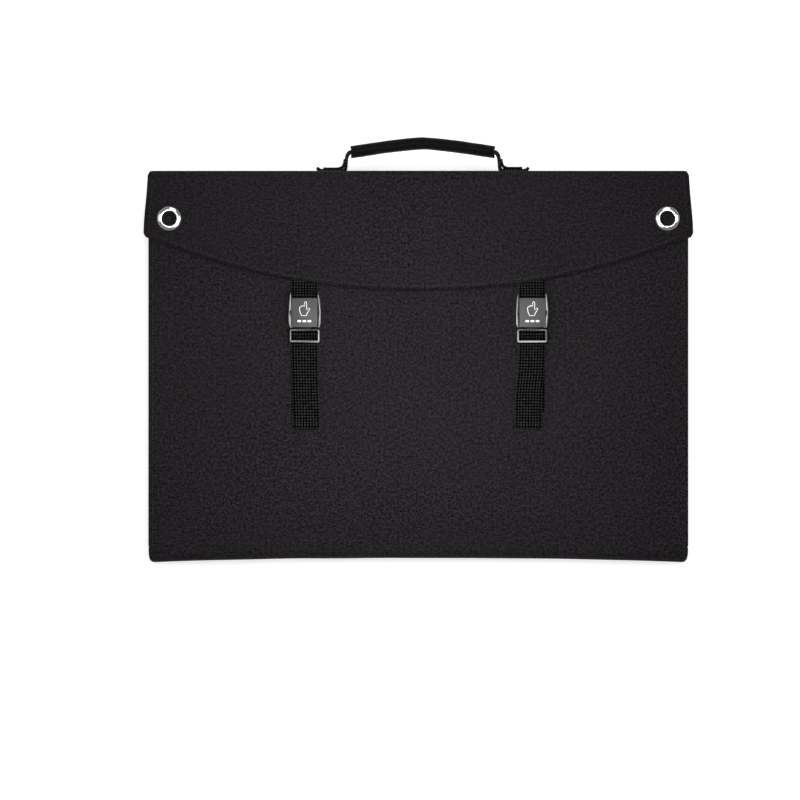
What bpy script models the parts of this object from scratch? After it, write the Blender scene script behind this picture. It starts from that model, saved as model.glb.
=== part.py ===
"""A folding solar blanket, folded shut like a briefcase and lying on its back.

Four solar panels fold together like an accordion. The back panel carries a stiff spine with the
handle, and a flap that folds over the front panel and is held by two centre-press buckles.
Metres, +Z away from the ground, +Y towards the handle, origin under the middle of the back panel.
"""

import math

import bmesh
import bpy
from mathutils import Matrix, Vector

GAP = 0.0003  # kept between pieces that touch
OVERSHOOT = 0.01  # how far a cutter passes the piece that it cuts
FABRIC = 0.0009

# Panels: four equal leaves, stacked from the ground up.
PANEL_HALF_WIDTH = 0.2640
PANEL_BOTTOM = -0.1810
PANEL_TOP = 0.1780
PANEL_DEPTH = 0.0069
PANEL_CORNER = 0.006
RIM = 0.0015
BOARD_DEPTH = 0.0030
LAMINATE_DEPTH = 0.0012
LAMINATE_INSET_X = 0.0120
LAMINATE_INSET_Y = 0.0115
BORDER_OVERLAP = 0.0060
BACK_FACES = (0.0, 0.0160, 0.0260, 0.0420)  # outer face of each leaf's cover
FACES_UP = (True, False, True, False)  # which way the solar face looks while folded

# Fold axes, along X. They lie outside the panels' ends, so that slack fabric is left when open.
BOTTOM_AXIS_Y = -0.1935
TOP_AXIS_Y = 0.1859
AXIS_1_2 = (BOTTOM_AXIS_Y, 0.0130)
AXIS_2_3 = (TOP_AXIS_Y, 0.02585)
AXIS_3_4 = (BOTTOM_AXIS_Y, 0.0388)
JUMPER_X = 0.1000
JUMPER_WIDTH = 0.0140
JUMPER_DEPTH = 0.0006

# Spine and flap.
CASE_TOP = 0.1900
SPINE_WALL = 0.0013
SPINE_TOP = 0.0415
STIFFENER = 0.0015
FLAP_TOP_Y = 0.1850
FLAP_FACE = 0.0462  # upper surface of the flap's outer fabric
FLAP_FABRIC = 0.0010
LINING = 0.0006
FLAP_AXIS = (0.1880, 0.0452)
FLAP_HALF_TOP = 0.2645
FLAP_HALF_FLARE = 0.2682
FLAP_FLARE_Y = 0.1290
FLAP_CORNER_Y = 0.1248
FLAP_CORNER_X = 0.2655
FLAP_LOWEST_Y = 0.0720
FLAP_CURVE_POWER = 2.15
LINING_INSET = 0.0015

# Eyelets.
EYELET_X = 0.2430
EYELET_Y = 0.1430
EYELET_FLANGE = 0.0116
EYELET_HOLE = 0.0071
EYELET_WALL = 0.0005
EYELET_RISE = 0.0016  # from the fabric to the flange's flat top
EYELET_ROLL = 0.0012  # the flange's rounded rims
BARREL_REACH = 0.0006
WASHER = 0.0008

# Buckles and webbing.
BUCKLE_X = 0.1110
STRAP_HALF = 0.0127
WEBBING = 0.0011
SOCKET_HALF = 0.0152
SOCKET_BULGE = 0.0006
SOCKET_LOW, SOCKET_HIGH = 0.0366, 0.0706
SOCKET_FLOOR, SOCKET_FACE = 0.0425, 0.0520
RECESS_HALF = 0.0131
RECESS_FLOOR = 0.0487
RECESS_HIGH = 0.0658
BAR_LOW, BAR_HIGH = 0.0628, 0.0655
BAR_UNDER, BAR_OVER = 0.0440, 0.0465
CAVITY_FLOOR = 0.0441
CAVITY_HALF = 0.0115
BUTTON_AXIS = (0.0519, 0.0505)
BUTTON_PIN = 0.0009
BUTTON_HALF = 0.0127
BUTTON_LOW, BUTTON_HIGH = 0.0370, 0.0652
BUTTON_UNDER = 0.0506
HOOK_HALF = 0.0035
HOOK_LOW, HOOK_HIGH, HOOK_TIP = 0.0385, 0.0402, 0.0468
PLUG_HALF = 0.0148
PLUG_LOW, PLUG_HIGH = 0.0217, 0.0352
PLUG_UNDER, PLUG_FACE = 0.0440, 0.0500
PLUG_LOWER_BAR, PLUG_UPPER_BAR = 0.0022, 0.0014
PLUG_SHOULDER = 0.0020
BAR_RELIEF = 0.0465  # the lower bar's underside, which the tail passes beneath
STRAP_BAR_LOW, STRAP_BAR_HIGH = 0.0286, 0.0322
STRAP_BAR_UNDER, STRAP_BAR_FACE = 0.0446, 0.0468
TONGUE_UNDER, TONGUE_FACE = 0.0445, 0.0475
TONGUE_HALF = 0.0110
TONGUE_MIDDLE_HALF, TONGUE_END = 0.0060, 0.0430
CATCH_HALF, CATCH_LOW, CATCH_HIGH = 0.0042, 0.0375, 0.0408
ARM_INNER, ARM_END = 0.0084, 0.0560
TAIL_END = -0.0605
TAIL_HEM = 0.0045
TAIL_RUN = 0.0450  # height of the loose webbing's middle
TAIL_RISE_Y, TAIL_CREST = 0.0331, 0.0478
ANCHOR_END = -0.0450

# Handle.
HANDLE_X = 0.0045
HANDLE_Z = 0.0210
HANDLE_STRAP = 0.0020
HANDLE_STRAP_WIDTH = 0.0200
HANDLE_FOOT_OUT = 0.1030
HANDLE_RISER = 0.0757
HANDLE_AXIS = (0.1930, HANDLE_Z)
SLEEVE_HALF = 0.0693
SLEEVE_DEPTH = 0.0115
SLEEVE_WIDTH = 0.0220
SLEEVE_END_Y = 0.2097
SLEEVE_RISE = 0.0088

# Pocket on the second leaf's back, with the junction box.
POCKET_HALF = 0.1100
POCKET_LOW, POCKET_HIGH = 0.0100, 0.1600
POCKET_UNDER, POCKET_FACE = 0.0163, 0.0255
BOX_HALF = 0.0450
BOX_LOW, BOX_HIGH = 0.0200, 0.0750
BOX_UNDER, BOX_SPLIT, BOX_FACE = 0.0175, 0.0213, 0.0236
OUTLET_RADIUS, OUTLET_BORE, OUTLET_LENGTH = 0.0028, 0.0013, 0.0140
OUTLET_Z = 0.0206

ALONG_X = (math.pi / 2, 0.0, math.pi / 2)  # turns a flat outline's x, y into world Y, Z


def clear_scene():
    for obj in list(bpy.data.objects):
        bpy.data.objects.remove(obj, do_unlink=True)


def new_collection(name, hidden=False):
    collection = bpy.data.collections.new(name)
    collection.hide_render = hidden
    bpy.context.scene.collection.children.link(collection)
    return collection


def new_material(name, colour, roughness, metallic=0.0):
    material = bpy.data.materials.new(name)
    material.use_nodes = True
    shader = material.node_tree.nodes["Principled BSDF"]
    shader.inputs["Base Color"].default_value = (*colour, 1.0)
    shader.inputs["Roughness"].default_value = roughness
    shader.inputs["Metallic"].default_value = metallic
    material.diffuse_color = (*colour, 1.0)
    return material


def mesh_object(name, bm, material, collection):
    mesh = bpy.data.meshes.new(name)
    bm.to_mesh(mesh)
    bm.free()
    obj = bpy.data.objects.new(name, mesh)
    obj.data.materials.append(material)
    collection.objects.link(obj)
    return obj


def box_bmesh(low, high):
    bm = bmesh.new()
    low, high = Vector(low), Vector(high)
    size = Matrix.Diagonal((*(high - low), 1.0))
    bmesh.ops.create_cube(bm, size=1.0, matrix=Matrix.Translation((low + high) / 2) @ size)
    return bm


def round_edges(bm, axis, offset, segments):
    """Bevels the edges that run along one axis."""
    edges = [e for e in bm.edges if abs((e.verts[0].co - e.verts[1].co).normalized()[axis]) > 0.99]
    bmesh.ops.bevel(bm, geom=edges, offset=offset, segments=segments, affect="EDGES",
                    profile=0.5, material=-1)


def hollow_towards(bm, direction, wall, floor):
    """Opens a box on one side: its face there is inset by the wall and pushed in to the floor."""
    direction = Vector(direction)
    bm.faces.ensure_lookup_table()
    face = max(bm.faces, key=lambda f: f.calc_center_median().dot(direction))
    depth = max(v.co.dot(direction) for v in bm.verts) - min(v.co.dot(direction) for v in bm.verts)
    bmesh.ops.inset_region(bm, faces=[face], thickness=wall, use_even_offset=True)
    moved = bmesh.ops.extrude_face_region(bm, geom=[face])["geom"]
    verts = [g for g in moved if isinstance(g, bmesh.types.BMVert)]
    bmesh.ops.translate(bm, verts=verts, vec=-direction * (depth - floor))
    if face.is_valid:
        bmesh.ops.delete(bm, geom=[face], context="FACES_ONLY")
    bmesh.ops.recalc_face_normals(bm, faces=bm.faces)


def slab(name, low, high, material, corner=0.0):
    bm = box_bmesh(low, high)
    if corner:
        round_edges(bm, 2, corner, 3)
    return mesh_object(name, bm, material, blanket)


def outline(name, loops, thickness, material, rotation=(0.0, 0.0, 0.0), location=(0.0, 0.0, 0.0)):
    """A flat outline with holes, as thick as given, centred on its own plane."""
    curve = bpy.data.curves.new(name, "CURVE")
    curve.dimensions = "2D"
    curve.fill_mode = "BOTH"
    curve.extrude = thickness / 2
    for loop in loops:
        spline = curve.splines.new("POLY")
        spline.points.add(len(loop) - 1)
        for point, (x, y) in zip(spline.points, loop):
            point.co = (x, y, 0.0, 1.0)
        spline.use_cyclic_u = True
    obj = bpy.data.objects.new(name, curve)
    obj.data.materials.append(material)
    obj.rotation_euler = rotation
    obj.location = location
    blanket.objects.link(obj)
    return obj


def section(name, loops, x_low, x_high, material):
    """A Y, Z section carried along X."""
    middle = ((x_low + x_high) / 2, 0.0, 0.0)
    return outline(name, loops, x_high - x_low, material, ALONG_X, middle)


def as_mesh(obj):
    """Makes a curve object a mesh with the same name and place, its caps welded to its sides."""
    bpy.context.view_layer.update()
    graph = bpy.context.evaluated_depsgraph_get()
    name, matrix, material = obj.name, obj.matrix_world.copy(), obj.data.materials[0]
    mesh = bpy.data.meshes.new_from_object(obj.evaluated_get(graph))
    bpy.data.objects.remove(obj, do_unlink=True)
    bm = bmesh.new()
    bm.from_mesh(mesh)
    bmesh.ops.remove_doubles(bm, verts=bm.verts, dist=1e-6)
    bmesh.ops.recalc_face_normals(bm, faces=bm.faces)
    made = mesh_object(name, bm, material, blanket)
    made.matrix_world = matrix
    return made


def cut(obj, cutter):
    modifier = obj.modifiers.new("Cut " + cutter.name, "BOOLEAN")
    modifier.operation = "DIFFERENCE"
    modifier.object = cutter


def join(obj, other):
    modifier = obj.modifiers.new("Join " + other.name, "BOOLEAN")
    modifier.operation = "UNION"
    modifier.object = other


def helper(name, bm):
    """A cutter, or a shape that a Boolean joins on, which is no piece of its own."""
    obj = mesh_object(name, bm, helper_material, cutters)
    obj.display_type = "WIRE"
    obj.hide_render = True
    return obj


def cut_box(obj, name, low, high):
    cut(obj, helper(obj.name + "_" + name, box_bmesh(low, high)))


def join_box(obj, name, low, high):
    join(obj, helper(obj.name + "_" + name, box_bmesh(low, high)))


def arc(centre, radius, start, end, steps):
    """Points on a circle, from one angle to another, in degrees."""
    points = []
    for i in range(steps + 1):
        angle = math.radians(start + (end - start) * i / steps)
        points.append((centre[0] + radius * math.cos(angle), centre[1] + radius * math.sin(angle)))
    return points


def ribbon(path, thickness):
    """The closed outline of a strip that follows a path."""
    left, right = [], []
    for i, point in enumerate(path):
        before, after = path[max(i - 1, 0)], path[min(i + 1, len(path) - 1)]
        run_in = Vector((point[0] - before[0], point[1] - before[1]))
        run_out = Vector((after[0] - point[0], after[1] - point[1]))
        run_in = run_in if run_in.length else run_out
        run_out = run_out if run_out.length else run_in
        along = (run_in.normalized() + run_out.normalized()).normalized()
        stretch = 1 / max(along.dot(run_in.normalized()), 0.5)
        side = Vector((-along.y, along.x)) * thickness / 2 * stretch
        left.append((point[0] + side.x, point[1] + side.y))
        right.append((point[0] - side.x, point[1] - side.y))
    return left + right[::-1]


def turned(name, profile, centre, material, axis="Z"):
    """A ring turned about its own axis from a closed profile of radius and height."""
    bm = bmesh.new()
    verts = [bm.verts.new((radius, 0.0, height)) for radius, height in profile]
    for first, second in zip(verts, verts[1:] + verts[:1]):
        bm.edges.new((first, second))
    obj = mesh_object(name, bm, material, blanket)
    screw = obj.modifiers.new("Screw", "SCREW")
    screw.steps = screw.render_steps = 24
    screw.use_merge_vertices = True
    screw.merge_threshold = 0.00001
    if axis == "Y":
        obj.rotation_euler = (-math.pi / 2, 0.0, 0.0)
    obj.location = centre
    return obj


def pivot(name, location, parent=None):
    """An empty on a joint's axis. The pieces of one moving body hang from it."""
    empty = bpy.data.objects.new(name, None)
    empty.empty_display_size = 0.02
    empty.location = location
    blanket.objects.link(empty)
    if parent:
        hang([empty], parent)
    return empty


def hang(pieces, parent):
    bpy.context.view_layer.update()
    for piece in pieces:
        piece.parent = parent
        piece.matrix_parent_inverse = parent.matrix_world.inverted()


def leaf(number):
    """One solar panel: a fabric tray, a board, the solar laminate, and the border that holds it."""
    back = BACK_FACES[number - 1]
    way = 1 if FACES_UP[number - 1] else -1
    name = f"panel_{number}_"

    def layer(from_back, to_back):
        return sorted((back + way * from_back, back + way * to_back))

    rim_top = PANEL_DEPTH - FABRIC - GAP
    low, high = layer(0.0, rim_top)
    bm = box_bmesh((-PANEL_HALF_WIDTH, PANEL_BOTTOM, low), (PANEL_HALF_WIDTH, PANEL_TOP, high))
    round_edges(bm, 2, PANEL_CORNER, 3)
    hollow_towards(bm, (0.0, 0.0, way), RIM, FABRIC)
    cover = mesh_object(name + "cover", bm, fabric, blanket)

    inset = RIM + GAP
    low, high = layer(FABRIC + GAP, FABRIC + GAP + BOARD_DEPTH)
    board = slab(name + "board",
                 (-PANEL_HALF_WIDTH + inset, PANEL_BOTTOM + inset, low),
                 (PANEL_HALF_WIDTH - inset, PANEL_TOP - inset, high),
                 board_material, PANEL_CORNER)

    half = PANEL_HALF_WIDTH - LAMINATE_INSET_X
    low_y, high_y = PANEL_BOTTOM + LAMINATE_INSET_Y, PANEL_TOP - LAMINATE_INSET_Y
    start = FABRIC + GAP + BOARD_DEPTH + GAP
    low, high = layer(start, start + LAMINATE_DEPTH)
    laminate = slab(name + "laminate", (-half, low_y, low), (half, high_y, high), solar)

    low, high = layer(rim_top + GAP, PANEL_DEPTH)
    border = slab(name + "border", (-PANEL_HALF_WIDTH, PANEL_BOTTOM, low),
                  (PANEL_HALF_WIDTH, PANEL_TOP, high), fabric, PANEL_CORNER)
    lap = BORDER_OVERLAP
    cut_box(border, "window", (-half + lap, low_y + lap, low - OVERSHOOT),
            (half - lap, high_y - lap, high + OVERSHOOT))
    return [cover, board, laminate, border]


def fold(name, edge_y, side, low, high, lift=0.0):
    """Fabric round the ends of two leaves, between two heights. side is where it bulges."""
    radius = (high - low) / 2
    centre = (edge_y, low + radius + lift / 2)
    outer = arc(centre, radius - lift / 2, -90, 90, 10)
    inner = arc(centre, radius - lift / 2 - FABRIC, 90, -90, 10)
    loop = [(edge_y + side * (y - edge_y), z) for y, z in outer + inner]
    return section(name, [loop], -PANEL_HALF_WIDTH + 0.002, PANEL_HALF_WIDTH - 0.002, fabric)


def jumper(name, edge_y, side, low, high):
    """The flat two-core lead that joins two leaves inside their fold."""
    radius = (high - low) / 2
    centre = (edge_y, low + radius)
    outer = arc(centre, radius, -80, 80, 8)
    inner = arc(centre, radius - JUMPER_DEPTH, 80, -80, 8)
    loop = [(edge_y + side * (y - edge_y), z) for y, z in outer + inner]
    return section(name, [loop], JUMPER_X - JUMPER_WIDTH / 2, JUMPER_X + JUMPER_WIDTH / 2, rubber)


def flap_edge(x):
    """Height of the flap's lower edge along X."""
    share = (abs(x) / FLAP_CORNER_X) ** FLAP_CURVE_POWER
    return FLAP_LOWEST_Y + (FLAP_CORNER_Y - FLAP_LOWEST_Y) * share


def flap_outline(inset):
    steps = 24
    corner = FLAP_CORNER_X - inset
    loop = [(-FLAP_HALF_TOP + inset, FLAP_TOP_Y)]
    loop.append((-FLAP_HALF_FLARE + inset, FLAP_FLARE_Y))
    for i in range(steps + 1):
        x = -corner + 2 * corner * i / steps
        loop.append((x, flap_edge(x) + inset))
    loop.append((FLAP_HALF_FLARE - inset, FLAP_FLARE_Y))
    loop.append((FLAP_HALF_TOP - inset, FLAP_TOP_Y))
    return loop


def eyelet_holes():
    radius = EYELET_HOLE + EYELET_WALL + GAP
    return [arc((side * EYELET_X, EYELET_Y), radius, 0, 345, 23) for side in (-1, 1)]


def make_flap():
    cover_z = FLAP_FACE - FLAP_FABRIC / 2
    cover = outline("flap_cover", [flap_outline(0.0)] + eyelet_holes(), FLAP_FABRIC, fabric,
                    location=(0.0, 0.0, cover_z))
    lining_z = FLAP_FACE - FLAP_FABRIC - GAP - LINING / 2
    lining = outline("flap_lining", [flap_outline(LINING_INSET)] + eyelet_holes(), LINING, fabric,
                     location=(0.0, 0.0, lining_z))
    return [cover, lining]


def make_eyelet(side, label):
    """A flange with its barrel through the flap, and the washer that it is set against."""
    top = FLAP_FACE + GAP
    seat = top + EYELET_RISE
    under = FLAP_FACE - FLAP_FABRIC - GAP - LINING - GAP
    wall = EYELET_HOLE + EYELET_WALL
    flange = turned("eyelet_" + label, [
        (wall, top), (wall, under - BARREL_REACH), (EYELET_HOLE, under - BARREL_REACH),
        (EYELET_HOLE, seat - EYELET_ROLL / 2), (EYELET_HOLE + EYELET_ROLL, seat),
        (EYELET_FLANGE - EYELET_ROLL, seat), (EYELET_FLANGE, seat - EYELET_ROLL), (EYELET_FLANGE, top),
    ], (side * EYELET_X, EYELET_Y, 0.0), nickel)
    washer = turned("eyelet_washer_" + label, [
        (wall + GAP, under), (EYELET_FLANGE, under),
        (EYELET_FLANGE, under - WASHER), (wall + GAP, under - WASHER),
    ], (side * EYELET_X, EYELET_Y, 0.0), nickel)
    return [flange, washer]


def make_spine():
    """The stiff back of the case: an L of fabric round the leaves' ends, and its board."""
    inner = CASE_TOP - SPINE_WALL
    corner = 0.004
    loop = [(PANEL_TOP + GAP, 0.0)]
    loop += arc((CASE_TOP - corner, corner), corner, -90, 0, 5)
    loop += [(CASE_TOP, SPINE_TOP), (inner, SPINE_TOP)]
    loop += arc((CASE_TOP - corner, corner), corner - SPINE_WALL, 0, -90, 5)
    loop += [(PANEL_TOP + GAP, SPINE_WALL)]
    spine = section("spine", [loop], -FLAP_HALF_TOP, FLAP_HALF_TOP, fabric)
    board = slab("spine_board",
                 (-PANEL_HALF_WIDTH + 0.004, inner - GAP - STIFFENER, 0.0045),
                 (PANEL_HALF_WIDTH - 0.004, inner - GAP, SPINE_TOP - 0.001), board_material)
    return [spine, board]


def make_flap_hinge():
    """The soft strip between the spine's front edge and the flap."""
    low = SPINE_TOP + GAP
    radius = FLAP_FACE - low
    centre = (CASE_TOP - radius, low)
    outer = arc(centre, radius, 0, 90, 6)
    inner = arc(centre, radius - FLAP_FABRIC, 90, 0, 6)
    end = FLAP_TOP_Y + GAP
    loop = outer + [(end, FLAP_FACE), (end, FLAP_FACE - FLAP_FABRIC)] + inner
    return section("flap_hinge", [loop], -FLAP_HALF_TOP, FLAP_HALF_TOP, fabric)


def make_socket(side, label):
    """The buckle's upper half: rails, a strap bar between two horns, and a mouth for the plug."""
    x = side * BUCKLE_X
    half, bulge = SOCKET_HALF, SOCKET_HALF + SOCKET_BULGE
    middle = (SOCKET_LOW + SOCKET_HIGH) / 2
    right = [(half - 0.0006, SOCKET_LOW), (bulge, SOCKET_LOW + 0.004), (bulge, middle - 0.002),
             (half, SOCKET_HIGH - 0.006), (half - 0.0012, SOCKET_HIGH)]
    loop = [(x + dx, y) for dx, y in right] + [(x - dx, y) for dx, y in reversed(right)]
    height = SOCKET_FACE - SOCKET_FLOOR
    socket = as_mesh(outline("buckle_socket_" + label, [loop], height, plastic,
                             location=(0.0, 0.0, SOCKET_FLOOR + height / 2)))
    strap, over = RECESS_HALF - 0.0001, SOCKET_FACE + OVERSHOOT
    cut_box(socket, "recess", (x - RECESS_HALF, SOCKET_LOW - OVERSHOOT, RECESS_FLOOR),
            (x + RECESS_HALF, RECESS_HIGH, over))
    cut_box(socket, "horn_gap", (x - strap, BAR_HIGH, SOCKET_FLOOR - OVERSHOOT),
            (x + strap, SOCKET_HIGH + OVERSHOOT, over))
    cut_box(socket, "cavity", (x - CAVITY_HALF, SOCKET_LOW - OVERSHOOT, CAVITY_FLOOR),
            (x + CAVITY_HALF, BAR_LOW - 0.0026, RECESS_FLOOR + 0.001))
    cut_box(socket, "strap_slot", (x - strap, BAR_LOW - 0.0030, SOCKET_FLOOR - OVERSHOOT),
            (x + strap, BAR_LOW, RECESS_FLOOR + 0.001))
    cut_box(socket, "over_bar", (x - strap, BAR_LOW - 0.001, BAR_OVER),
            (x + strap, BAR_HIGH + 0.001, over))
    cut_box(socket, "under_bar", (x - strap, BAR_LOW - 0.001, SOCKET_FLOOR - OVERSHOOT),
            (x + strap, BAR_HIGH + 0.001, BAR_UNDER))
    y, z = BUTTON_AXIS
    notch, reach = BUTTON_PIN + 0.0005, BUTTON_HALF + 0.0018
    cut_box(socket, "pin_notch", (x - reach, y - notch, z - notch), (x + reach, y + notch, over))
    return socket


def make_button(side, label):
    """The rocking press plate: pushed at its upper end, it lifts the hook out of the tongue."""
    x = side * BUCKLE_X
    y, z = BUTTON_AXIS
    button = slab("buckle_button_" + label, (x - BUTTON_HALF, BUTTON_LOW, BUTTON_UNDER),
                  (x + BUTTON_HALF, BUTTON_HIGH, SOCKET_FACE), plastic)
    join_box(button, "hook", (x - HOOK_HALF, HOOK_LOW, HOOK_TIP),
             (x + HOOK_HALF, HOOK_HIGH, BUTTON_UNDER + 0.0005))
    bm = bmesh.new()
    turn = Matrix.Translation((x, y, z)) @ Matrix.Rotation(math.pi / 2, 4, "Y")
    bmesh.ops.create_cone(bm, cap_ends=True, segments=16, radius1=BUTTON_PIN, radius2=BUTTON_PIN,
                          depth=2 * (BUTTON_HALF + 0.0014), matrix=turn)
    join(button, helper(button.name + "_pin", bm))
    return button


def make_spring(side, label):
    """The leaf that holds the press plate's upper end up."""
    x = side * BUCKLE_X
    low, high = CAVITY_FLOOR + GAP, BUTTON_UNDER - GAP
    path = [(0.0475, low + 0.0003), (0.0510, low + 0.0003), (0.0545, low + 0.0012),
            (0.0575, high - 0.0010), (0.0590, high - 0.0003)]
    return section("button_spring_" + label, [ribbon(path, 0.0004)], x - 0.004, x + 0.004, steel)


def make_plug(side, label):
    """The buckle's lower half: a two-slot strap adjuster with a tongue and two guide arms."""
    x = side * BUCKLE_X
    plug = slab("buckle_plug_" + label, (x - PLUG_HALF, PLUG_LOW, PLUG_UNDER),
                (x + PLUG_HALF, PLUG_HIGH, PLUG_FACE), plastic, corner=PLUG_SHOULDER)
    slot = STRAP_HALF + GAP
    cut_box(plug, "window", (x - slot, PLUG_LOW + PLUG_LOWER_BAR, PLUG_UNDER - OVERSHOOT),
            (x + slot, PLUG_HIGH - PLUG_UPPER_BAR, PLUG_FACE + OVERSHOOT))
    cut_box(plug, "under_lower_bar", (x - slot, PLUG_LOW - OVERSHOOT, PLUG_UNDER - OVERSHOOT),
            (x + slot, PLUG_LOW + PLUG_LOWER_BAR + GAP, BAR_RELIEF))
    join_box(plug, "strap_bar", (x - PLUG_HALF + PLUG_SHOULDER / 2, STRAP_BAR_LOW, STRAP_BAR_UNDER),
             (x + PLUG_HALF - PLUG_SHOULDER / 2, STRAP_BAR_HIGH, STRAP_BAR_FACE))
    root = PLUG_HIGH - PLUG_UPPER_BAR / 2
    join_box(plug, "tongue", (x - TONGUE_MIDDLE_HALF, root, TONGUE_UNDER),
             (x + TONGUE_MIDDLE_HALF, TONGUE_END, TONGUE_FACE))
    cut_box(plug, "tongue_window", (x - CATCH_HALF, CATCH_LOW, TONGUE_UNDER - OVERSHOOT),
            (x + CATCH_HALF, CATCH_HIGH, TONGUE_FACE + OVERSHOOT))
    for hand, inner, outer in (("left", -TONGUE_HALF, -ARM_INNER), ("right", ARM_INNER, TONGUE_HALF)):
        join_box(plug, "arm_" + hand, (x + inner, root, TONGUE_UNDER), (x + outer, ARM_END, TONGUE_FACE))
    return plug


def make_upper_strap(side, label):
    """Short webbing, sewn under the flap and looped round the socket's bar."""
    x = side * BUCKLE_X
    hole = [(BAR_LOW - GAP, BAR_UNDER - GAP), (BAR_HIGH + GAP, BAR_UNDER - GAP),
            (BAR_HIGH + GAP, BAR_OVER + GAP), (BAR_LOW - GAP, BAR_OVER + GAP)]
    low, high = BAR_LOW - GAP - WEBBING, BAR_HIGH + GAP + WEBBING
    under, over = BAR_UNDER - GAP - WEBBING, BAR_OVER + GAP + WEBBING
    loop = [(low, under), (0.0900, under), (0.0900, under + 0.0015), (0.0760, under + 0.0015),
            (high + 0.0015, over - 0.0006), (high, over), (low + 0.0006, over), (low, over - 0.0006)]
    return section("strap_upper_" + label, [loop, hole], x - STRAP_HALF, x + STRAP_HALF, webbing)


def make_tail(side, label):
    """Loose webbing: up through the plug, over its bar and down to a folded hem."""
    x = side * BUCKLE_X
    under, over = TAIL_RUN - WEBBING / 2, TAIL_RUN + WEBBING / 2
    hem_top = over + WEBBING
    path = [(TAIL_RISE_Y, 0.0431), (TAIL_RISE_Y, 0.0468), (0.0320, TAIL_CREST), (0.0284, TAIL_CREST),
            (0.0262, 0.0464), (0.0244, TAIL_RUN)]
    strip = ribbon(path + [(TAIL_END + TAIL_HEM, TAIL_RUN)], WEBBING)
    side_a, side_b = strip[:len(path)], strip[len(path) + 2:]
    hem_end = TAIL_END + TAIL_HEM
    hem = [(TAIL_END, under), (TAIL_END, hem_top), (hem_end, hem_top), (hem_end, over)]
    loop = side_a + hem + side_b
    return section("strap_tail_" + label, [loop], x - STRAP_HALF, x + STRAP_HALF, webbing)


def make_anchor(side, label):
    """Webbing sewn to the front panel that leads up to the plug."""
    x = side * BUCKLE_X
    low = BACK_FACES[3] + GAP
    return slab("strap_anchor_" + label, (x - STRAP_HALF, ANCHOR_END, low),
                (x + STRAP_HALF, 0.0318, low + WEBBING), webbing)


def sleeve_middle(x):
    """Height of the grip's centre line: a shallow arch."""
    share = min(abs(x) / SLEEVE_HALF, 1.0)
    return SLEEVE_END_Y + SLEEVE_RISE * (1 - share ** 1.4)


def arch_path(half, steps=16):
    return [(HANDLE_X + x, sleeve_middle(x)) for x in
            (-half + 2 * half * i / steps for i in range(steps + 1))]


def make_handle():
    feet = []
    for side, label in ((-1, "left"), (1, "right")):
        inner, outer = HANDLE_RISER - HANDLE_STRAP, HANDLE_FOOT_OUT
        ends = sorted((HANDLE_X + side * inner, HANDLE_X + side * outer))
        feet.append(slab("handle_foot_" + label,
                         (ends[0], CASE_TOP + GAP, HANDLE_Z - HANDLE_STRAP_WIDTH / 2),
                         (ends[1], CASE_TOP + GAP + HANDLE_STRAP, HANDLE_Z + HANDLE_STRAP_WIDTH / 2),
                         webbing))
    foot_top = CASE_TOP + HANDLE_STRAP + 2 * GAP
    riser = HANDLE_RISER - HANDLE_STRAP / 2
    bend = [(riser, foot_top), (riser, SLEEVE_END_Y - 0.005), (riser - 0.0015, SLEEVE_END_Y - 0.001)]
    path = [(HANDLE_X - x, y) for x, y in bend]
    path += arch_path(SLEEVE_HALF)
    path += [(HANDLE_X + x, y) for x, y in reversed(bend)]
    strap = outline("handle_webbing", [ribbon(path, HANDLE_STRAP)], HANDLE_STRAP_WIDTH, webbing,
                    location=(0.0, 0.0, HANDLE_Z))
    sleeve = as_mesh(outline("handle_sleeve", [ribbon(arch_path(SLEEVE_HALF), SLEEVE_DEPTH)],
                             SLEEVE_WIDTH, fabric, location=(0.0, 0.0, HANDLE_Z)))
    middle = ribbon(arch_path(SLEEVE_HALF + 2 * HANDLE_STRAP), HANDLE_STRAP + 4 * GAP)
    slot = as_mesh(outline("handle_sleeve_slot", [middle], HANDLE_STRAP_WIDTH + 2 * GAP, helper_material,
                           location=(0.0, 0.0, HANDLE_Z)))
    blanket.objects.unlink(slot)
    cutters.objects.link(slot)
    slot.display_type = "WIRE"
    slot.hide_render = True
    cut(sleeve, slot)
    return feet, [strap, sleeve]


def make_pocket():
    bm = box_bmesh((-POCKET_HALF, POCKET_LOW, POCKET_UNDER), (POCKET_HALF, POCKET_HIGH, POCKET_FACE))
    hollow_towards(bm, (0.0, 1.0, 0.0), FABRIC, FABRIC)
    pocket = mesh_object("cable_pocket", bm, fabric, blanket)
    base = slab("junction_box_base", (-BOX_HALF, BOX_LOW, BOX_UNDER), (BOX_HALF, BOX_HIGH, BOX_SPLIT),
                plastic, corner=0.003)
    lid = slab("junction_box_lid", (-BOX_HALF, BOX_LOW, BOX_SPLIT + GAP), (BOX_HALF, BOX_HIGH, BOX_FACE),
               plastic, corner=0.003)
    outlet = turned("output_socket", [
        (OUTLET_RADIUS, OUTLET_LENGTH), (OUTLET_RADIUS, 0.0), (OUTLET_BORE, 0.0),
        (OUTLET_BORE, OUTLET_LENGTH),
    ], (0.0, BOX_HIGH + GAP, OUTLET_Z), plastic, axis="Y")
    return [pocket, base, lid, outlet]


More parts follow.
